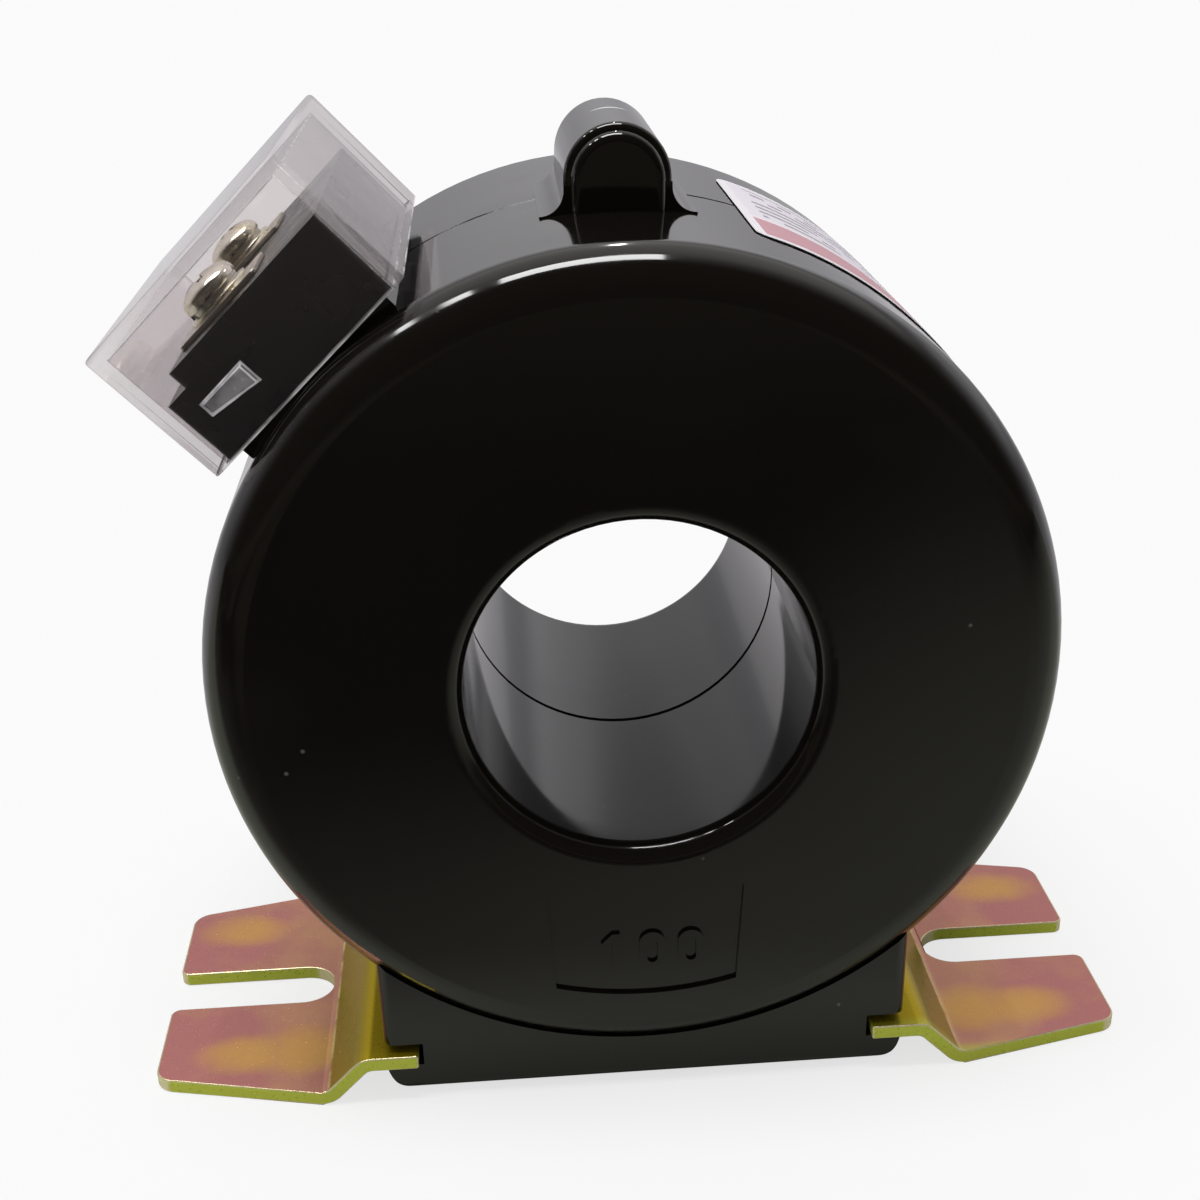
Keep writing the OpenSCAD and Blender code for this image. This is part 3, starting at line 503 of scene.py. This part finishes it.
def yellow_zinc():
    """Iridescent yellow chromate: pink flats with a gold cloud on each prong, olive edges and bend. Painted
    glints fleck the flats. The rounded edges are painted pale, partly as worn plating and partly as painted
    highlight. The upper bend carries a bright line that is partly rubbed plating and partly painted
    highlight.
    """
    material, tree, shader = finish("yellow zinc", (0.60, 0.34, 0.30), 0.34, 0.8, 0.25)
    where = place(tree)
    split = add(tree, "ShaderNodeSeparateXYZ", Vector=where).outputs
    out = math_of(tree, "ABSOLUTE", split["X"])
    wander = noise(tree, where, 60.0, 4.0, 0.6, 0.5)
    shift = spread(tree, wander, 0.25, 0.75, -0.75, 0.75, False)
    cloud = None
    for middle_x, middle_y, wide_x, wide_y in prong_clouds:
        dx = math_of(tree, "DIVIDE", math_of(tree, "SUBTRACT", out, middle_x), wide_x)
        dy = math_of(tree, "DIVIDE", math_of(tree, "SUBTRACT", split["Y"], middle_y), wide_y)
        square = math_of(tree, "ADD", times(tree, dx, dx), times(tree, dy, dy))
        one = spread(tree, math_of(tree, "ADD", square, shift), -0.3, 2.4, 1.0, 0.0)
        cloud = one if cloud is None else math_of(tree, "MAXIMUM", cloud, one)
    pink = (0.55, 0.215, 0.20)
    rose = (0.64, 0.33, 0.19)
    gold = (0.76, 0.42, 0.11)
    olive = (0.37, 0.26, 0.004)
    yellow = (0.64, 0.47, 0.008)
    green = (0.55, 0.60, 0.075)
    # The next two tint painted highlights: the pale one the glints and the partly worn edges, the brassy one
    # the partly rubbed bend line.
    painted_highlight = (0.80, 0.72, 0.42)
    bend_shine = (0.92, 0.74, 0.32)
    ragged = spread(tree, noise(tree, where, 110.0, 3.0), 0.35, 0.65, -0.3, 0.3)
    inward = math_of(tree, "ADD", spread(tree, out, foot_high.x - 3 * mm, bend_to, 0.0, 0.7), ragged)
    ground = blend_colors(tree, inward, pink, rose)
    flats = blend_colors(tree, times(tree, cloud, 0.85), ground, gold)
    # Painted glints: tiny bright specks on the flats.
    glints = spread(tree, noise(tree, where, 2600.0, 1.0), 0.75, 0.81, 0.0, 0.3)
    flats = blend_colors(tree, glints, flats, painted_highlight)
    slope = blend_colors(tree, spread(tree, out, bend_from, bend_from + 3 * mm), yellow, olive)
    rising = spread(tree, out, bend_to - 0.4 * mm, bend_to + 0.4 * mm, 1.0, 0.0)
    flats = blend_colors(tree, rising, flats, slope)
    # A bright brassy line along the upper bend: partly rubbed plating, partly a painted highlight of the
    # bend.
    bend_line = times(tree, spread(tree, out, bend_to - 0.3 * mm, bend_to),
                   spread(tree, out, bend_to, bend_to + 0.3 * mm, 0.9, 0.0))
    worn_and_highlit = times(tree, bend_line, spread(tree, noise(tree, where, 300.0, 4.0), 0.35, 0.6))
    flats = blend_colors(tree, worn_and_highlit, flats, bend_shine)
    front_rim = spread(tree, split["Y"], foot_low.y + 0.3 * mm, foot_low.y + 2.4 * mm, 0.7, 0.0)
    front_rim = times(tree, front_rim, spread(tree, split["X"], 0.0, 60 * mm))
    flats = blend_colors(tree, front_rim, flats, green)
    normal = add(tree, "ShaderNodeTexCoord").outputs["Normal"]
    facing = add(tree, "ShaderNodeSeparateXYZ", Vector=normal).outputs
    level = math_of(tree, "ABSOLUTE", facing["Z"])
    sideways = math_of(tree, "ABSOLUTE", facing["Y"])
    upright = spread(tree, level, 0.35, 0.62, 1.0, 0.0)
    steep = math_of(tree, "MAXIMUM", upright, spread(tree, sideways, 0.3, 0.7))
    ends = times(tree, math_of(tree, "ABSOLUTE", facing["X"]), spread(tree, out, 60 * mm, 62 * mm))
    round_over = math_of(tree, "MAXIMUM", sideways, ends)
    # Rounded edges painted pale: partly worn plating, partly painted highlight.
    edge = times(tree, spread(tree, round_over, 0.12, 0.3), spread(tree, round_over, 0.88, 0.97, 1.0, 0.0))
    tone = blend_colors(tree, steep, flats, green)
    tree.links.new(blend_colors(tree, edge, tone, painted_highlight), shader.inputs["Base Color"])
    tree.links.new(spread(tree, steep, 0.0, 1.0, 0.8, 0.35), shader.inputs["Metallic"])
    grain = noise(tree, where, 1500.0, 3.0, 0.6)
    matt = spread(tree, grain, 0.3, 0.7, 0.27, 0.31)
    polish = times(tree, edge, 0.06)
    tree.links.new(math_of(tree, "SUBTRACT", matt, polish), shader.inputs["Roughness"])
    bumps(tree, shader, grain, 0.003 * mm, math_of(tree, "SUBTRACT", 1.0, edge))
    return material


foot_low, foot_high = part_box("foot_right")
bend_from, bend_to = 36.2 * mm, 42.7 * mm       # where the slope leaves the flange and meets the prongs
prong_clouds = (                                # middle out and back, half widths out and back
    (54.5 * mm, foot_low.y + 9.5 * mm, 5.5 * mm, 3.4 * mm),
    (46.5 * mm, foot_low.y + 10.0 * mm, 4.5 * mm, 4.5 * mm),
    (58.5 * mm, foot_high.y - 10.5 * mm, 5.5 * mm, 3.4 * mm),
)
chromate = yellow_zinc()
for name in ("foot_left", "foot_right"):
    softened(
        name, 0.3 * mm, chromate, segments=3, limit=30.0, clamped=False, shortest=0.05 * mm
    )

# ---------------------------------------------------------------- closing screws
# Three plated pan-head screws with a coarse thread, entered from behind and sunk in counterbores.
# They pull the shells together at the lug and at both ends of the base.

tapping_thread, tapping_pitch = 1.66 * mm, 1.25 * mm
tall = 2.2 * mm
for name in ("lug_screw", "base_screw_left", "base_screw_right"):
    low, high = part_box(name)
    bearing = Matrix.Translation(((low.x + high.x) / 2, high.y - tall, (low.z + high.z) / 2))
    pan_screw(name, bearing @ Matrix.Rotation(-math.pi / 2, 4, "X"), {
        "Head radius": (high.x - low.x) / 2, "Head height": tall, "Thread radius": tapping_thread,
        "Length": high.y - low.y - tall, "Pitch": tapping_pitch, "Recess turn": math.radians(10.0),
    })

# ---------------------------------------------------------------- rating label
# A white film sticker with rounded corners, printed in rose, lilac and grey, and stuck on the rim
# beside the lug.


def printed_film():
    """White film sticker with a rose band along its front edge and rows of grey bars."""
    margin, blur = 1.3, 0.06                    # these and the next are in mm on the film
    band_start, band_end, field_start = 1.4, 12.6, 14.0
    rows_start, rows_indent, rows_end, rows_foot = 15.0, 3.4, 2.6, 3.0
    row_pitch, mark_pitch, bar_low, bar_high = 3.4, 2.1, 1.0, 2.3
    mark_rarity = 0.38
    material, tree, shader = finish("printed film", (0.74, 0.70, 0.74), 0.28, level=0.4)
    where = place(tree)
    split = add(tree, "ShaderNodeSeparateXYZ", Vector=where).outputs
    round_it = math_of(tree, "ARCTAN2", split["X"], split["Z"])
    along = times(tree, math_of(tree, "SUBTRACT", round_it, film_start), film_radius / mm)
    across = math_of(tree, "DIVIDE", math_of(tree, "SUBTRACT", split["Y"], film_low.y), mm)

    def within(value, low, high):
        """1 between low and high, with edges as soft as print."""
        rises = spread(tree, value, low - blur, low + blur)
        return times(tree, rises, spread(tree, value, high - blur, high + blur, 1.0, 0.0))

    white = (0.92, 0.88, 0.92)
    lilac = (0.85, 0.79, 0.88)
    rose = (0.60, 0.26, 0.31)
    grey = (0.23, 0.21, 0.24)
    wide = film_turn * film_radius / mm
    deep = (film_high.y - film_low.y) / mm
    inside = within(along, margin, wide - margin)
    field = times(tree, inside, within(across, field_start, deep - margin))
    tone = blend_colors(tree, field, white, lilac)
    band = times(tree, inside, within(across, band_start, band_end))
    tone = blend_colors(tree, band, tone, rose)
    row = math_of(tree, "DIVIDE", math_of(tree, "SUBTRACT", across, rows_start), row_pitch)
    cell = math_of(tree, "FLOOR", math_of(tree, "DIVIDE", along, mark_pitch))
    which = add(tree, "ShaderNodeCombineXYZ", X=cell, Y=math_of(tree, "FLOOR", row)).outputs[0]
    chance = add(tree, "ShaderNodeTexWhiteNoise", {"noise_dimensions": "2D"}, Vector=which)
    marked = math_of(tree, "GREATER_THAN", chance.outputs["Value"], mark_rarity)
    down_row = times(tree, math_of(tree, "FRACT", row), row_pitch)
    bars = times(tree, within(down_row, bar_low, bar_high), marked)
    bars = times(tree, bars, within(along, rows_indent, wide - rows_end))
    bars = times(tree, bars, within(across, rows_start, deep - rows_foot))
    tone = blend_colors(tree, bars, tone, grey)
    tree.links.new(tone, shader.inputs["Base Color"])
    bumps(tree, shader, noise(tree, where, 160.0, 2.0), 0.03 * mm)
    return material


film_low, film_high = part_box("rating_label")
film_radius = max(math.hypot(vertex.co.x, vertex.co.z) for vertex in nodes["rating_label"].data.vertices)
angles = [math.atan2(vertex.co.x, vertex.co.z) for vertex in nodes["rating_label"].data.vertices]
film_start, film_turn = min(angles), max(angles) - min(angles)
film_thickness = 0.12 * mm
film_corner = 2.2 * mm
corner_points = 9
film_steps = 72
film = bmesh.new()
outline = []
half_s, half_y = film_turn * film_radius / 2, (film_high.y - film_low.y) / 2
for sign_s, sign_y, first in ((1, 1, 0), (-1, 1, 90), (-1, -1, 180), (1, -1, 270)):
    for step in range(corner_points):
        around = math.radians(first + step * 90 / (corner_points - 1))
        outline.append(film.verts.new((
            sign_s * (half_s - film_corner) + film_corner * math.cos(around),
            sign_y * (half_y - film_corner) + film_corner * math.sin(around), 0.0,
        )))
film.faces.new(outline)
for step in range(1, film_steps):
    everything = film.verts[:] + film.edges[:] + film.faces[:]
    bmesh.ops.bisect_plane(
        film, geom=everything, plane_co=(half_s * (2 * step / film_steps - 1), 0, 0), plane_no=(1, 0, 0)
    )
raised = bmesh.ops.extrude_face_region(film, geom=film.faces[:])["geom"]
for vertex in raised:
    if isinstance(vertex, bmesh.types.BMVert):
        vertex.co.z = film_thickness
middle_y = (film_low.y + film_high.y) / 2
for vertex in film.verts:                       # rolled round the rim
    around = film_start + film_turn / 2 + vertex.co.x / film_radius
    out = film_radius - film_thickness + vertex.co.z
    vertex.co = Vector((out * math.sin(around), vertex.co.y + middle_y, out * math.cos(around)))
bmesh.ops.recalc_face_normals(film, faces=film.faces)
film_mesh = bpy.data.meshes.new("rating_label_finished")
film.to_mesh(film_mesh)
film.free()
sticker = bpy.data.objects.new("rating_label_finished", film_mesh)
scene.collection.objects.link(sticker)
rounded_edges(sticker, 0.03 * mm, segments=1, limit=60.0)
stands_for(sticker, "rating_label", printed_film())

# ---------------------------------------------------------------- studio
# A pale floor and a pale surround, a row of three lamps overhead and a small one high behind.
# What the gloss mirrors is darker than what the eye sees: a dim room in front, a grey wall behind.

eye = Vector((-0.0160, -0.2246, 0.0898))
turn = math.radians(-4.153)
tilt = math.radians(27.077)
roll = math.radians(-1.155)
lens = bpy.data.cameras.new("camera")
lens.sensor_width = 36.0
lens.lens = 52.12
lens.shift_x = -0.0197
lens.shift_y = 0.1194
lens.clip_start = 0.01
camera = bpy.data.objects.new("camera", lens)
camera.matrix_world = (
    Matrix.Translation(eye) @ Matrix.Rotation(turn, 4, "Z")
    @ Matrix.Rotation(math.pi / 2 - tilt, 4, "X") @ Matrix.Rotation(roll, 4, "Z")
)
scene.collection.objects.link(camera)
scene.camera = camera


def lamp(name, at, size, power, towards=(0.0, 0.0, 0.0)):
    """A rectangular area lamp that faces a point."""
    light = bpy.data.lights.new(name, "AREA")
    light.shape = "RECTANGLE"
    light.size, light.size_y = size
    light.energy = power
    thing = bpy.data.objects.new(name, light)
    aim = (Vector(towards) - Vector(at)).to_track_quat("-Z", "Y")
    thing.matrix_world = Matrix.Translation(at) @ aim.to_matrix().to_4x4()
    scene.collection.objects.link(thing)


lamp_glow = 14.0                                # radiance of each lamp's face
lamp_depth = 0.28
row_y, row_z = -0.02, 1.0
row = (("row left", -0.78, 0.10), ("row middle", -0.52, 0.12), ("row right", -0.09, 0.52))
for name, middle_x, wide in row:
    power = lamp_glow * math.pi * wide * lamp_depth
    lamp(name, (middle_x, row_y, row_z), (wide, lamp_depth), power, (middle_x, row_y, 0.0))
lamp("spot", (0.05, 0.80, 0.85), (0.02, 0.06), 0.6)

floor_reach = 6.0
plane = bmesh.new()
bmesh.ops.create_grid(plane, x_segments=1, y_segments=1, size=floor_reach)
floor_mesh = bpy.data.meshes.new("floor")
plane.to_mesh(floor_mesh)
floor_mesh.transform(Matrix.Translation((0, 0, cad_low.z - 0.05 * mm)))
floor = bpy.data.objects.new("floor", floor_mesh)
scene.collection.objects.link(floor)
floor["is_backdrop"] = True


def pale_floor():
    """Pale matt floor that fades into the surround away from the object, and darkens in gloss."""
    pale = (0.95, 0.95, 0.95)
    dark_room, room = (0.012, 0.010, 0.008), (0.15, 0.13, 0.10)
    bench, bench_edge = (0.44, 0.45, 0.38), (0.50, 0.51, 0.43)
    near_wall, far_wall = (0.68, 0.66, 0.68), (0.47, 0.46, 0.48)
    material, tree, shader = finish("pale floor", pale, 1.0, level=0.0)
    rays = add(tree, "ShaderNodeLightPath").outputs
    where = place(tree)
    split = add(tree, "ShaderNodeSeparateXYZ", Vector=where).outputs
    away = add(tree, "ShaderNodeVectorMath", {"operation": "LENGTH"}, i0=where).outputs["Value"]
    beyond = spread(tree, split["Y"], 0.15, 0.4)
    seen_through = times(tree, rays["Is Transmission Ray"], beyond)
    seen = math_of(tree, "MAXIMUM", rays["Is Camera Ray"], seen_through)
    mirrored = math_of(tree, "MAXIMUM", rays["Is Glossy Ray"], rays["Is Transmission Ray"])
    front = spread(tree, split["Y"], spread(tree, split["X"], -0.02, 0.12, -0.16, -0.34), -0.05)
    side = spread(tree, split["X"], -0.10, 0.10, 0.3, 0.85)
    clutter = spread(tree, noise(tree, where, 7.0, 2.0), 0.45, 0.6, 0.0, 0.5)
    distant = math_of(tree, "MAXIMUM", clutter, spread(tree, split["Y"], -0.70, -0.25, 1.0, 0.0))
    lit = blend_colors(tree, distant, dark_room, room)
    lit = blend_colors(tree, times(tree, front, side), lit, bench)
    lit = blend_colors(tree, spread(tree, split["Y"], -0.075, -0.045), lit, bench_edge)
    tree.links.new(blend_colors(tree, mirrored, pale, lit), shader.inputs["Base Color"])
    wall = blend_colors(tree, spread(tree, away, 0.2, 1.4), near_wall, far_wall)
    reflected = add(tree, "ShaderNodeEmission", Color=wall)
    past = times(tree, rays["Is Glossy Ray"], spread(tree, split["Y"], 0.0, 0.10))
    mirror = add(tree, "ShaderNodeMixShader", i0=past, i1=shader.outputs[0], i2=reflected.outputs[0])
    glow = add(tree, "ShaderNodeEmission", Color=(1.0, 1.0, 1.0, 1.0), Strength=0.96)
    near = add(tree, "ShaderNodeMixShader", i0=times(tree, seen, 0.72))
    tree.links.new(mirror.outputs[0], near.inputs[1])
    tree.links.new(glow.outputs[0], near.inputs[2])
    far = times(tree, spread(tree, away, 0.06, 0.13), seen)
    mixed = add(tree, "ShaderNodeMixShader", i0=far, i1=near.outputs[0], i2=glow.outputs[0])
    tree.links.new(mixed.outputs[0], tree.nodes["Material Output"].inputs["Surface"])
    return material


floor_mesh.materials.append(pale_floor())

world = bpy.data.worlds.new("pale surround")
scene.world = world
world.use_nodes = True
tree = world.node_tree
back = tree.nodes["Background"]
rays = add(tree, "ShaderNodeLightPath").outputs
gaze = add(tree, "ShaderNodeTexCoord").outputs["Generated"]
direction = add(tree, "ShaderNodeSeparateXYZ", Vector=gaze).outputs
behind = spread(tree, direction["Y"], -0.35, 0.45)
dim_room, soft_light, open_white = (0.030, 0.025, 0.018), (0.32, 0.32, 0.32), (0.96, 0.96, 0.96)
left_wall, right_wall = (0.50, 0.49, 0.50), (0.80, 0.785, 0.81)
skirting, cornice, ceiling = (0.45, 0.44, 0.46), (0.45, 0.44, 0.45), (0.76, 0.75, 0.74)
wall = blend_colors(tree, spread(tree, direction["X"], -0.7, 0.7), left_wall, right_wall)
wall = blend_colors(tree, spread(tree, direction["Z"], 0.05, 0.20), skirting, wall)
wall = blend_colors(tree, spread(tree, direction["Z"], 0.36, 0.50), wall, cornice)
wall = blend_colors(tree, spread(tree, direction["Z"], 0.51, 0.59), wall, ceiling)
mirrored = blend_colors(tree, behind, dim_room, wall)
through = blend_colors(tree, behind, dim_room, open_white)
shown = blend_colors(tree, rays["Is Glossy Ray"], soft_light, mirrored)
shown = blend_colors(tree, rays["Is Transmission Ray"], shown, through)
shown = blend_colors(tree, rays["Is Camera Ray"], shown, open_white)
tree.links.new(shown, back.inputs["Color"])
back.inputs["Strength"].default_value = 1.0

scene.view_settings.view_transform = "Standard"

low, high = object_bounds()
